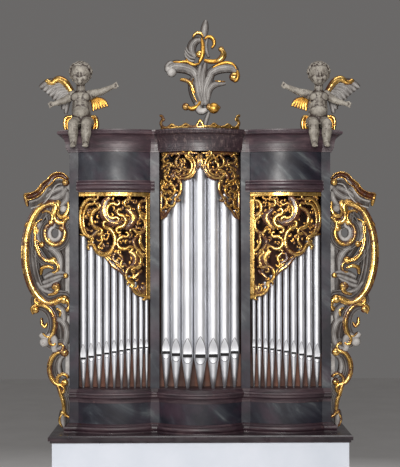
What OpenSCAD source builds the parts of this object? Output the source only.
// Baroque positive organ case with 27 front pipes, on its display pedestal.
// Millimetres, +Z up, front towards -Y, origin on the floor under the middle of the pedestal.

/* [Pedestal] */
// Height of the white display pedestal
pedestal_h = 950; // [700:10:1100]
// How far the base board stands over the pedestal on each side
pedestal_inset = 12; // [5:1:30]
// Thickness of the pedestal's boards
pedestal_t = 18; // [12:1:25]

/* [Base board] */
// Width of the board that the case stands on
board_w = 1000; // [960:10:1100]
// Depth of the board that the case stands on
board_d = 400; // [380:10:480]
// Thickness of the board's upper, rounded part
board_t = 16; // [12:1:24]
// Thickness of the fillet under the board
fillet_t = 8; // [5:1:12]

/* [Case] */
// Width over the two outer stiles
case_w = 880; // [840:10:940]
// Depth from the stiles to the back
case_d = 288; // [240:4:300]
// Distance of the stiles behind the front edge of the base board
front_setback = 92; // [90:1:110]
// Width of each of the four stiles
stile_w = 30; // [24:1:36]
// Thickness of the stiles
stile_t = 20; // [15:1:25]
// Thickness of the side, back and roof boards
panel_t = 12; // [8:1:16]
// Width of the middle tower between its stiles
tower_w = 276; // [250:2:300]
// How far the tower bows forward
tower_bow = 55; // [45:1:65]
// How far each side field bows forward
field_bow = 30; // [20:1:35]

/* [Levels] */
// Height of the rounded moulding at the foot of the case
foot_h = 28; // [22:1:36]
// Height of the marbled panels above it
fascia_h = 70; // [60:1:90]
// Height of the impost, which carries the pipes
impost_h = 45; // [36:1:56]
// Height of the pipe openings in the side fields
opening_h = 660; // [600:5:760]
// Height of the moulding over the side fields
lintel_h = 40; // [32:1:48]
// Height of the marbled frieze
frieze_h = 95; // [80:1:115]
// Height of the cornice
cornice_h = 73; // [60:1:90]
// How far the cornice projects
cornice_out = 38; // [30:1:45]

/* [Pipes] */
// Wall of the pipe metal
pipe_wall = 1.2; // [0.8:0.1:2]
// Gap between two neighbouring pipes
pipe_gap = 5.5; // [3:0.5:6]
// Diameter of the pipe in the middle of the tower
tower_pipe_d = 44; // [36:1:45]
// Diameter of the largest pipe of a side field
field_pipe_d = 24; // [20:1:25]
// Diameter of the smallest pipe of a side field
field_pipe_d_min = 13; // [11:1:15]
// Clear space between the face of the case and the pipes
pipe_setback = 30; // [28:1:34]

/* [Carving] */
// Thickness of the pipe shades
shade_t = 8; // [6:1:9]
// Width of the gilt strips around a side shade
gilt_w = 14; // [10:1:18]
// Thickness of the side wings
wing_t = 24; // [16:1:30]
// Width of the strip that fixes a wing to the case
wing_strip = 17; // [12:1:22]

/* [Hidden] */
$fn = 64;
clear = 0.3;
sides = [-1, 1];

// levels, worked up from the floor
z_board = pedestal_h;
z_foot = z_board + fillet_t + board_t;
z_fascia = z_foot + foot_h;
z_impost = z_fascia + fascia_h;
z_pipes = z_impost + impost_h;
z_lintel = z_pipes + opening_h;
z_frieze = z_lintel + lintel_h;
z_cornice = z_frieze + frieze_h;
z_top = z_cornice + cornice_h;

// plan
y_face = -board_d / 2 + front_setback;
y_back = y_face + case_d;
half_w = case_w / 2;
tower_half = tower_w / 2;
field_in = tower_half + stile_w;
field_out = half_w - stile_w;
field_half = (field_out - field_in) / 2;
field_x = (field_out + field_in) / 2;
function bow_r(half, bow) = (half * half + bow * bow) / (2 * bow);
tower_r = bow_r(tower_half, tower_bow);
field_r = bow_r(field_half, field_bow);
tower_y = y_face - tower_bow + tower_r;
field_y = y_face - field_bow + field_r;
split_x = tower_half + stile_w / 2;
bow_back = 8;

// ---------- colours ----------
marble_blue = [0.25, 0.26, 0.30];
marble_plum = [0.22, 0.14, 0.17];
bare_wood = [0.36, 0.17, 0.10];
gold = [0.80, 0.58, 0.20];
grey_paint = [0.55, 0.53, 0.48];
tin = [0.72, 0.74, 0.77];
white_paint = [0.86, 0.87, 0.89];

// ---------- mouldings ----------
// A profile is a list of [projection, height] from the bottom edge to the top edge.
function arc_points(cx, cz, rx, rz, a0, a1, n) =
    [for (i = [0:n]) let (a = a0 + (a1 - a0) * i / n) [cx + rx * cos(a), cz + rz * sin(a)]];

foot_profile = concat(
    [[18, 0], [18, 3]],
    arc_points(12, 12.5, 7, 8.5, -70, 90, 8),
    [[8, 21], [8, 24]],
    [[3, foot_h], [0, foot_h]]
);

impost_profile = concat(
    [[0, 0], [4, 0], [4, 5]],
    arc_points(15, 5, 11, 14, 180, 90, 5),
    [[17, 19], [17, 26]],
    arc_points(16, 31, 6, 5, -90, 90, 6),
    [[12, 36], [12, impost_h - 4], [8, impost_h - 4], [8, impost_h]]
);

lintel_profile = concat(
    [[0, 0], [5, 0], [5, 6]],
    arc_points(5, 16, 9, 10, -90, 60, 6),
    [[12, 26], [12, 31]],
    [[6, 36], [6, lintel_h], [0, lintel_h]]
);

cornice_profile = concat(
    [[0, 0], [5, 0], [5, 6], [9, 6], [9, 13], [12, 13]],
    arc_points(cornice_out - 6, 17, cornice_out - 18, cornice_h - 34, 180, 90, 7),
    arc_points(cornice_out - 5, cornice_h - 11, 5, 6, -90, 90, 6),
    [[cornice_out - 9, cornice_h - 5], [cornice_out - 9, cornice_h]]
);

function top_of(profile) = profile[len(profile) - 1][1];
function low_of(profile) = profile[0][1];

// the straight run over the stiles, filled back to depth
module straight_run(profile, depth) {
    translate([0, y_face, 0]) rotate([90, 0, -90])
        linear_extrude(case_w + 200, center = true)
            polygon(concat(profile, [[-depth, top_of(profile)], [-depth, low_of(profile)]]));
}

// a bowed run about a vertical axis, cut off just behind the stiles
module bowed_run(profile, x, y, r) {
    intersection() {
        translate([x, y, 0]) rotate_extrude($fn = 128)
            polygon(concat([[0, low_of(profile)]],
                [for (p = profile) [r + p[0], p[1]]],
                [[0, top_of(profile)]]));
        translate([x - r, y_face - 2 * r, -1])
            cube([2 * r, 2 * r + bow_back, top_of(profile) + 2]);
    }
}

// the outline seen from the front; with returns the moulding also runs along both sides
module side_limits(profile, returns) {
    rotate([90, 0, 0]) linear_extrude(2 * board_d, center = true)
        polygon(concat(
            [for (p = profile) [half_w + (returns ? p[0] : 0), p[1]]],
            [for (i = [len(profile) - 1:-1:0]) [-half_w - (returns ? profile[i][0] : 0), profile[i][1]]]));
}

module front_run(profile, depth, returns = false) {
    intersection() {
        union() {
            straight_run(profile, depth);
            bowed_run(profile, 0, tower_y, tower_r);
            for (s = sides) bowed_run(profile, s * field_x, field_y, field_r);
        }
        side_limits(profile, returns);
    }
}

// everything inside the front, set back by inset, for hollowing
module plan_core(inset, depth, h) {
    translate([-half_w + panel_t, y_face + inset, -1])
        cube([case_w - 2 * panel_t, depth, h + 2]);
    difference() {
        union() {
            translate([0, tower_y, -1]) cylinder(r = tower_r - inset, h = h + 2, $fn = 128);
            for (s = sides) translate([s * field_x, field_y, -1])
                cylinder(r = field_r - inset, h = h + 2, $fn = 128);
        }
        translate([-2 * half_w, y_face + inset + 1, -2]) cube([4 * half_w, 2 * half_w, h + 4]);
    }
}

// a slice of x, from x0 to x1
module slice(x0, x1, h) {
    intersection() {
        children();
        translate([x0, -board_d, -5]) cube([x1 - x0, 2 * board_d, h + 10]);
    }
}

// ---------- pedestal and base ----------
ped_w = board_w - 2 * pedestal_inset;
ped_d = board_d - 2 * pedestal_inset;

module pedestal_face(y) {
    color(white_paint) translate([-ped_w / 2, y, 0]) cube([ped_w, pedestal_t, pedestal_h - pedestal_t]);
}

module pedestal_side(s) {
    color(white_paint)
        translate([s * (ped_w - pedestal_t) / 2 - pedestal_t / 2, -ped_d / 2 + pedestal_t, 0])
            cube([pedestal_t, ped_d - 2 * pedestal_t, pedestal_h - pedestal_t]);
}

module pedestal_top() {
    color(white_paint)
        translate([-ped_w / 2, -ped_d / 2, pedestal_h - pedestal_t]) cube([ped_w, ped_d, pedestal_t]);
}

module base_board() {
    step = 6;
    color(marble_plum) {
        translate([-board_w / 2 + step, -board_d / 2 + step, z_board])
            cube([board_w - 2 * step, board_d - 2 * step, fillet_t]);
        difference() {
            translate([-board_w / 2, -board_d / 2, z_board + fillet_t])
                cube([board_w, board_d, board_t]);
            for (s = sides) translate([s * board_w / 2, 0, z_foot]) rotate([0, 45, 0])
                cube([step, 2 * board_d, step], center = true);
            translate([0, -board_d / 2, z_foot]) rotate([45, 0, 0])
                cube([2 * board_w, step, step], center = true);
        }
    }
}

module foot_moulding() {
    color(marble_plum) translate([0, 0, z_foot]) front_run(foot_profile, case_d, returns = true);
}

module fascia(x0, x1) {
    face = [[0, 0], [0, fascia_h]];
    color(marble_blue) translate([0, 0, z_fascia]) slice(x0, x1, fascia_h) difference() {
        front_run(face, stile_t);
        translate([0, 0, 0]) plan_core(stile_t - 4, case_d, fascia_h);
    }
}

module impost() {
    color(marble_plum) translate([0, 0, z_impost]) front_run(impost_profile, case_d);
}

// ---------- upright boards ----------
module stile(x0) {
    color(marble_blue) translate([x0, y_face, z_pipes]) cube([stile_w, stile_t, z_cornice - z_pipes]);
}

module side_panel(s) {
    color(marble_plum) difference() {
        translate([s > 0 ? half_w - panel_t : -half_w, y_face + stile_t, z_fascia])
            cube([panel_t, case_d - stile_t, z_cornice - z_fascia]);
        translate([-case_w, y_face, z_impost]) cube([2 * case_w, 2 * case_d, impost_h]);
    }
}

module back_panel() {
    color(bare_wood)
        translate([-half_w + panel_t, y_back - panel_t, z_pipes])
            cube([case_w - 2 * panel_t, panel_t, z_cornice - z_pipes]);
}

rack_h = 110;
rack_y = y_face + 50;
module rack_board() {
    color(bare_wood)
        translate([-half_w + panel_t, rack_y, z_pipes]) cube([case_w - 2 * panel_t, 10, rack_h]);
}

// ---------- frieze and cornice ----------
// how far a lintel laps over the face of the outer stile
lintel_lap = 6;

module lintel(s) {
    x0 = s > 0 ? split_x : -field_out - lintel_lap;
    x1 = s > 0 ? field_out + lintel_lap : -split_x;
    color(marble_plum) translate([0, 0, z_lintel]) difference() {
        slice(x0, x1, lintel_h) union() {
            straight_run(lintel_profile, stile_t);
            bowed_run(lintel_profile, s * field_x, field_y, field_r);
        }
        // the stiles run through behind it
        for (x = [s * (tower_half + stile_w / 2), s * (half_w - stile_w / 2)])
            translate([x - stile_w / 2, y_face, -1]) cube([stile_w, 2 * stile_t, lintel_h + 2]);
        translate([s * field_x - field_half, y_face + stile_t - 6, -1])
            cube([2 * field_half, stile_t, lintel_h + 2]);
    }
}

module frieze(s) {
    color(marble_blue) translate([s * field_x, field_y, z_frieze]) intersection() {
        difference() {
            cylinder(r = field_r - 2, h = frieze_h, $fn = 128);
            translate([0, 0, -1]) cylinder(r = field_r - 14, h = frieze_h + 2, $fn = 128);
        }
        translate([-field_half, -2 * field_r, 0])
            cube([2 * field_half, 2 * field_r - (field_r - field_bow) + stile_t, frieze_h]);
    }
}

module cornice(x0, x1) {
    color(marble_plum) translate([0, 0, z_cornice]) slice(x0, x1, cornice_h) difference() {
        front_run(cornice_profile, case_d, returns = true);
        plan_core(stile_t, case_d - stile_t - panel_t, cornice_h);
    }
}

module roof_board() {
    color(bare_wood) translate([-half_w + panel_t + clear, y_face + stile_t + clear, z_top - panel_t])
        cube([case_w - 2 * panel_t - 2 * clear, case_d - stile_t - panel_t - 2 * clear, panel_t]);
}

// ---------- gilt strips and pipe shades ----------
gilt_drop = 362;
shade_in = 4;

module field_shell(s, inset, t, z0, h) {
    translate([s * field_x, field_y, z0]) difference() {
        cylinder(r = field_r - inset, h = h, $fn = 96);
        translate([0, 0, -1]) cylinder(r = field_r - inset - t, h = h + 2, $fn = 96);
    }
}

module gilt_frame(s) {
    color(gold) {
        // top strip, which follows the bow
        intersection() {
            field_shell(s, 1, 8, z_lintel - gilt_w, gilt_w);
            translate([s * field_x - field_half, -board_d, z_lintel - gilt_w])
                cube([2 * field_half, board_d + y_face + 7, gilt_w]);
        }
        // inner strip, down to the tip of the shade
        translate([s > 0 ? field_in : -field_in - gilt_w, y_face - 7, z_lintel - gilt_drop])
            cube([gilt_w, 15, gilt_drop]);
    }
}

// A carved scroll: an arc whose two ends curl inwards, thickest in the middle.
// [x, z, radius, first angle, last angle, width]
function scroll_point(c, t) =
    let (e = abs(2 * t - 1), k = 1 - 0.5 * pow(e, 4), a = c[3] + (c[4] - c[3]) * t)
    [c[0] + c[2] * k * cos(a), c[1] + c[2] * k * sin(a)];
function scroll_width(c, t) = c[5] * (0.5 + 0.5 * sin(180 * t));

// unit normal to the scroll's path
function scroll_side(c, t) =
    let (v = scroll_point(c, t + 0.02) - scroll_point(c, t - 0.02)) [-v[1], v[0]] / norm(v);
function scroll_edge(c, t, k) = scroll_point(c, t) + k * scroll_width(c, t) / 2 * scroll_side(c, t);

module scroll(c, n = 8) {
    polygon(concat(
        [for (i = [0:n]) scroll_edge(c, i / n, 1)],
        [for (i = [n:-1:0]) scroll_edge(c, i / n, -1)]));
    for (t = [0, 1]) translate(scroll_point(c, t)) circle(d = 0.9 * c[5], $fn = 10);
}

// the same, rounded, for the thin carving of the pipe shades
module bead_scroll(c, n = 6) {
    for (i = [0:n - 1]) hull() {
        translate(scroll_point(c, i / n)) circle(d = scroll_width(c, i / n), $fn = 6);
        translate(scroll_point(c, (i + 1) / n)) circle(d = scroll_width(c, (i + 1) / n), $fn = 6);
    }
}

// side shade, from the inner gilt strip (x) and from the top strip downwards (-z)
field_scrolls = [
    [186, -62, 50, 70, 290, 12], [180, -66, 34, 60, 280, 9], [196, -52, 62, 20, 95, 10],
    [115, -44, 27, 60, 330, 10], [64, -74, 36, -120, 80, 15], [142, -124, 30, -10, 150, 12],
    [142, -152, 38, 170, 370, 13], [81, -152, 27, 100, 380, 11], [24, -36, 22, 60, 300, 9],
    [24, -96, 27, -80, 120, 10], [24, -150, 24, 110, 300, 9], [58, -204, 27, -110, 90, 13],
    [104, -206, 28, 130, 330, 11], [52, -256, 27, 80, 300, 11], [36, -308, 28, 110, 350, 12],
    [150, -14, 20, 180, 360, 9], [82, -14, 20, 180, 360, 9], [20, -204, 20, 90, 270, 9],
    [20, -262, 16, 90, 270, 8], [92, -104, 22, 150, 330, 9]
];

// the rib that joins the scrolls along the lower edge
field_spine = [[236, -130], [190, -112], [148, -46], [174, -150], [120, -170], [80, -176], [52, -230], [34, -250], [24, -330]];

module field_shade(s) {
    h = gilt_drop;
    color(gold) intersection() {
        field_shell(s, shade_in, shade_t, z_lintel - h, h - gilt_w);
        translate([s * field_in, y_face + bow_back + 2, z_lintel - gilt_w]) mirror([s > 0 ? 0 : 1, 0, 0])
            rotate([90, 0, 0]) linear_extrude(60) difference() {
                union() {
                    for (c = field_scrolls) bead_scroll(c);
                    square([2 * field_half, 6], center = false);
                    translate([0, -5]) square([2 * field_half, 5]);
                    translate([gilt_w, -h + gilt_w + 8]) square([7, h - gilt_w - 8]);
                    translate([2 * field_half - 7, -150]) square([6.7, 150]);
                    for (i = [0:len(field_spine) - 2]) hull() {
                        translate(field_spine[i]) circle(d = 9, $fn = 6);
                        translate(field_spine[i + 1]) circle(d = 9, $fn = 6);
                    }
                }
                translate([-10, -h]) square([10 + gilt_w + clear, h + 20]);
                translate([2 * field_half - clear, -h]) square([80, h + 20]);
            }
    }
}

// half of the tower shade, from the middle of the tower (x) and from the cornice downwards (-z)
tower_scrolls = [
    [44, -44, 38, -130, 130, 12], [40, -40, 24, 20, 250, 9], [94, -126, 34, -110, 120, 11],
    [84, -96, 26, 60, 240, 9], [118, -190, 24, -100, 110, 10], [112, -160, 18, 80, 260, 8],
    [104, -44, 26, 30, 230, 9], [98, -16, 20, 180, 360, 8], [62, -92, 20, 60, 230, 9],
    [118, -88, 18, -80, 120, 8], [8, -14, 12, 180, 360, 7], [124, -214, 12, 90, 270, 7]
];

tower_spine = [[11, -4], [31, -71], [61, -96], [85, -127], [105, -161], [113, -205], [128, -213]];

module tower_shade(s) {
    drop = 230;
    color(gold) intersection() {
        translate([0, tower_y, z_cornice - drop]) difference() {
            cylinder(r = tower_r - shade_in, h = drop, $fn = 96);
            translate([0, 0, -1]) cylinder(r = tower_r - shade_in - shade_t, h = drop + 2, $fn = 96);
        }
        translate([0, y_face + 2, z_cornice]) mirror([s > 0 ? 0 : 1, 0, 0])
            rotate([90, 0, 0]) linear_extrude(90) intersection() {
                union() {
                    for (c = tower_scrolls) bead_scroll(c, 7);
                    translate([0, -6]) square([tower_half, 6]);
                    translate([tower_half - 12, -drop + 10]) square([7, drop - 10]);
                    for (i = [0:len(tower_spine) - 2]) hull() {
                        translate(tower_spine[i]) circle(d = 8, $fn = 6);
                        translate(tower_spine[i + 1]) circle(d = 8, $fn = 6);
                    }
                }
                translate([clear / 2, -drop]) square([tower_half - 4, drop]);
            }
    }
}

// ---------- pipes ----------
// A metal flue pipe: conical foot, mouth with its lips, cylindrical body, standing on z = 0, mouth to -Y.
module pipe(d, foot, body) {
    tip = 0.22 * d + 2;
    lip_w = 0.72 * d;
    cut_up = 0.16 * d + 1;
    difference() {
        union() {
            cylinder(d1 = tip, d2 = d, h = foot);
            translate([0, 0, foot]) cylinder(d = d, h = body);
        }
        // the windway up the foot, and the bore of the body above the languid
        translate([0, 0, -1]) cylinder(d1 = tip - 2 * pipe_wall, d2 = d - 2 * pipe_wall, h = foot - 1);
        translate([0, 0, foot + 1]) cylinder(d = d - 2 * pipe_wall, h = body);
        // the mouth
        translate([-lip_w / 2, -d, foot + 1]) cube([lip_w, d, cut_up]);
    }
}

// One row of pipes. Their fronts touch an arc of radius r, whose front point is at [x, y].
module pipe_row(x, y, r, ds, feet, bodies, gap = pipe_gap) {
    n = len(ds);
    function run(i) = i == 0 ? 0 : run(i - 1) + (ds[i - 1] + ds[i]) / 2 + gap;
    total = run(n - 1);
    mid = (total + (ds[n - 1] - ds[0]) / 2) / 2;
    for (i = [0:n - 1]) {
        a = (run(i) - mid) / r * 180 / PI;
        translate([x + (r - ds[i] / 2) * sin(a), y + r - (r - ds[i] / 2) * cos(a), z_pipes])
            pipe(ds[i], feet[i], bodies[i]);
    }
}

field_count = 10;
field_row_r = 430;
tower_row_r = 240;
// the field rows stand a little nearer to the outer stiles
field_row_shift = 3;
// the gaps of the field rows open and close with the width of the field, from this half width
field_half_drawn = 121;
field_gap = pipe_gap + 2 * (field_half - field_half_drawn) / (field_count - 1);
field_ds = [for (i = [0:field_count - 1])
    field_pipe_d_min + (field_pipe_d - field_pipe_d_min) * pow(i / (field_count - 1), 0.8)];
field_feet = [for (i = [0:field_count - 1]) 134 - 38 * pow(i / (field_count - 1), 1.6)];
// the tops follow the sloping lower edge of the shade
field_tops = [for (i = [0:field_count - 1])
    opening_h - 345 + 205 * pow(i / (field_count - 1), 1.05)];
field_bodies = [for (i = [0:field_count - 1]) field_tops[i] - field_feet[i]];

tower_ds = [for (i = [-3:3]) tower_pipe_d * (1 - 0.1 * pow(abs(i), 0.83))];
tower_feet = [for (i = [-3:3]) 104 + 1.2 * i * i];
tower_tops = [for (i = [-3:3]) opening_h + lintel_h + frieze_h - 36 - 52 * pow(abs(i), 1.02)];
tower_bodies = [for (i = [0:6]) tower_tops[i] - tower_feet[i]];

module pipes_field(s) {
    color(tin) mirror([s > 0 ? 0 : 1, 0, 0])
        pipe_row(field_x + field_row_shift, y_face - field_bow + pipe_setback, field_row_r,
            field_ds, field_feet, field_bodies, field_gap);
}

module pipes_tower() {
    color(tin)
        pipe_row(0, y_face - tower_bow + pipe_setback, tower_row_r, tower_ds, tower_feet, tower_bodies);
}

// ---------- side wings ----------
// outwards from the case side (x) and up from the base board (z)
wing_scrolls = [
    [42, 600, 124, -98, 98, 30], [60, 608, 84, -120, 60, 20], [62, 706, 52, 40, 330, 18],
    [52, 696, 28, 90, 400, 13], [58, 566, 34, 60, 260, 18], [62, 520, 36, 150, 390, 18],
    [40, 768, 30, -60, 170, 16], [86, 404, 34, 60, 260, 18], [84, 356, 30, -250, -60, 18],
    [38, 366, 40, -90, 100, 14], [38, 366, 38, 90, 270, 12], [34, 258, 50, -100, 100, 17],
    [26, 258, 40, 100, 250, 11], [16, 186, 26, -40, 100, 12], [22, 120, 30, 130, 250, 12],
    [26, 60, 22, -120, 120, 13]
];

// the outline is drawn for a case of this height between foot and cornice, and follows another one
wing_drawn_h = 938;
wing_k = (z_cornice - z_foot) / wing_drawn_h;

module wing(s) {
    z0 = z_foot - 24;
    y0 = y_face + 4;
    color(grey_paint) difference() {
        union() {
            translate([s > 0 ? half_w : -half_w - wing_strip, y0, z0 + 64 * wing_k])
                cube([wing_strip, wing_t, 800 * wing_k]);
            translate([s * half_w, y0 + wing_t, z0]) mirror([s > 0 ? 0 : 1, 0, 0])
                rotate([90, 0, 0]) linear_extrude(wing_t) scale([1, wing_k]) difference() {
                    union() {
                        for (c = wing_scrolls) scroll(c, 10);
                        translate([4, 70]) rotate(8) square([14, 150]);
                    }
                    translate([-100, 0]) square([100, 1000]);
                    translate([-100, -100]) square([500, 124]);
                }
        }
        // room for the hood and for the foot moulding's return
        translate([s * half_w, y0 + 2 * wing_t, z0]) mirror([s > 0 ? 0 : 1, 0, 0])
            rotate([90, 0, 0]) linear_extrude(3 * wing_t) scale([1, wing_k]) hood_outline(2 * clear);
        translate([-half_w - 18 - clear, -board_d, 0])
            cube([case_w + 36 + 2 * clear, 2 * board_d, z_fascia + clear]);
    }
}

// the gilt hood over a wing: an ogee moulding
hood_points = [[8, 868], [24, 886], [44, 886], [64, 870], [84, 846], [106, 824], [130, 812], [156, 808]];
module hood_outline(grow = 0) {
    for (i = [0:len(hood_points) - 2]) hull() {
        translate(hood_points[i]) circle(d = 14 + i + grow, $fn = 10);
        translate(hood_points[i + 1]) circle(d = 15 + i + grow, $fn = 10);
    }
    translate([12.5, 861]) circle(d = 24 + grow, $fn = 24);
}

module wing_hood(s) {
    color(gold)
        translate([s * half_w, y_face + 4 + wing_t + 4, z_foot - 24]) mirror([s > 0 ? 0 : 1, 0, 0])
            rotate([90, 0, 0]) linear_extrude(wing_t + 8) scale([1, wing_k]) hood_outline();
}

// ---------- figures ----------
module limb(a, b, ra, rb) {
    hull() {
        translate(a) sphere(r = ra, $fn = 12);
        translate(b) sphere(r = rb, $fn = 12);
    }
}

// a winged child seated on the corner of the cornice; x is outwards
module putto_body() {
    limb([0, 0, 26], [2, 2, 84], 33, 31);
    limb([2, 2, 84], [3, -2, 112], 31, 15);
    limb([3, -2, 112], [4, -8, 160], 16, 18);
    translate([4, -10, 190]) sphere(r = 41, $fn = 20);
    for (s = sides) {
        limb([s * 18, -6, 22], [s * 22, -82, 14], 23, 18);
        limb([s * 22, -82, 14], [s * 20, -84, -48], 17, 12);
        limb([s * 20, -84, -48], [s * 22, -99, -58], 12, 9);
    }
    // the shoulders, the arm that reaches inwards, and the one held out
    limb([-25, -2, 114], [28, -3, 113], 16, 15);
    limb([-26, -1, 116], [-68, -9, 130], 15, 12);
    limb([-68, -9, 130], [-121, -16, 154], 11, 8);
    limb([27, -1, 112], [60, -11, 98], 14, 12);
    limb([60, -11, 98], [108, -19, 84], 11, 8);
}

module putto_wings_shape() {
    for (d = concat(outer_wing, inner_wing))
        translate([d[0], wing_y, d[1]]) rotate([90, 0, 0]) cylinder(r = d[2], h = 9, center = true);
    translate([-36, wing_y - 4.5, 92]) cube([72, 9, 26]);
}
// discs that make up a wing: place outwards, height, radius
outer_wing = [[48, 126, 30], [80, 157, 34], [108, 149, 27], [131, 136, 19]];
inner_wing = [[-40, 112, 22], [-60, 98, 19], [-74, 86, 12]];
wing_y = 37;

module putto(s) {
    color(grey_paint) translate([s * putto_x, putto_y, z_top]) mirror([s > 0 ? 0 : 1, 0, 0]) difference() {
        putto_body();
        // flat seat on the cornice
        translate([-90, -64, -60]) cube([180, 184, 60 + clear]);
    }
}

module putto_wings(s) {
    color(gold) translate([s * putto_x, putto_y, z_top]) mirror([s > 0 ? 0 : 1, 0, 0])
        putto_wings_shape();
}
// the putti sit this far inside the outer faces of the case
putto_x = half_w - 42;
putto_y = y_face + 6;

// ---------- crest ----------
crest_scrolls = [
    [0, 20, 22, 90, 450, 14], [-50, 140, 72, 0, 120, 24], [44, 146, 66, 60, 180, 24],
    [-92, 178, 26, 20, 250, 16], [84, 181, 34, -60, 160, 20], [-44, 92, 34, 20, 120, 16],
    [52, 92, 34, 60, 160, 16], [-6, 246, 44, 60, 280, 18], [36, 226, 36, 180, 400, 16],
    [-34, 14, 18, 0, 180, 12], [36, 14, 18, 0, 180, 12]
];

module crest() {
    color(grey_paint) translate([8, crest_y + 12, z_top]) rotate([90, 0, 0]) linear_extrude(24)
        intersection() {
            union() {
                for (c = crest_scrolls) bead_scroll(c, 7);
                polygon([[-16, 0], [18, 0], [38, 150], [12, 368], [-6, 300], [-36, 150]]);
            }
            translate([-200, 0]) square([400, 400]);
        }
}
crest_y = y_face - tower_bow + 4;

// the low gilt border along the top of the tower's cornice
module tower_cresting() {
    r = tower_r + cornice_out - 14;
    count = 9;
    color(gold) difference() {
        union() {
            translate([0, tower_y, z_top]) intersection() {
                difference() {
                    cylinder(r = r, h = 12, $fn = 96);
                    translate([0, 0, -1]) cylinder(r = r - 8, h = 14, $fn = 96);
                }
                translate([-tower_half, -r - 1, 0]) cube([2 * tower_half, r, 12]);
            }
            for (i = [0:count - 1]) {
                a = (i - (count - 1) / 2) * 2 * asin((tower_half - 10) / r) / (count - 1);
                lobe = i == (count - 1) / 2 ? 20 : 12;
                translate([(r - 4) * sin(a), tower_y - (r - 4) * cos(a), z_top]) rotate([0, 0, a])
                    rotate([90, 0, 0]) cylinder(r = lobe, h = 7, center = true);
            }
        }
        translate([-board_w, -board_d, z_top - 40]) cube([2 * board_w, 2 * board_d, 40]);
    }
}

pedestal_face(-ped_d / 2);  // pedestal_front
pedestal_face(ped_d / 2 - pedestal_t);  // pedestal_back
pedestal_side(-1);  // pedestal_left
pedestal_side(1);  // pedestal_right
pedestal_top();
base_board();
foot_moulding();
fascia(-half_w, -split_x);  // fascia_left
fascia(-split_x, split_x);  // fascia_tower
fascia(split_x, half_w);  // fascia_right
impost();
stile(-half_w);  // stile_outer_left
stile(-field_in);  // stile_inner_left
stile(tower_half);  // stile_inner_right
stile(field_out);  // stile_outer_right
side_panel(-1);  // side_panel_left
side_panel(1);  // side_panel_right
back_panel();
rack_board();
lintel(-1);  // lintel_left
lintel(1);  // lintel_right
frieze(-1);  // frieze_left
frieze(1);  // frieze_right
cornice(-board_w, -split_x);  // cornice_left
cornice(-split_x, split_x);  // cornice_tower
cornice(split_x, board_w);  // cornice_right
roof_board();
gilt_frame(-1);  // gilt_frame_left
gilt_frame(1);  // gilt_frame_right
field_shade(-1);  // pipe_shade_left
field_shade(1);  // pipe_shade_right
tower_shade(-1);  // tower_shade_left
tower_shade(1);  // tower_shade_right
pipes_field(-1);  // pipes_left
pipes_tower();
pipes_field(1);  // pipes_right
wing(-1);  // wing_left
wing(1);  // wing_right
wing_hood(-1);  // wing_hood_left
wing_hood(1);  // wing_hood_right
putto(-1);  // putto_left
putto_wings(-1);  // putto_left_wings
putto(1);  // putto_right
putto_wings(1);  // putto_right_wings
crest();
tower_cresting();
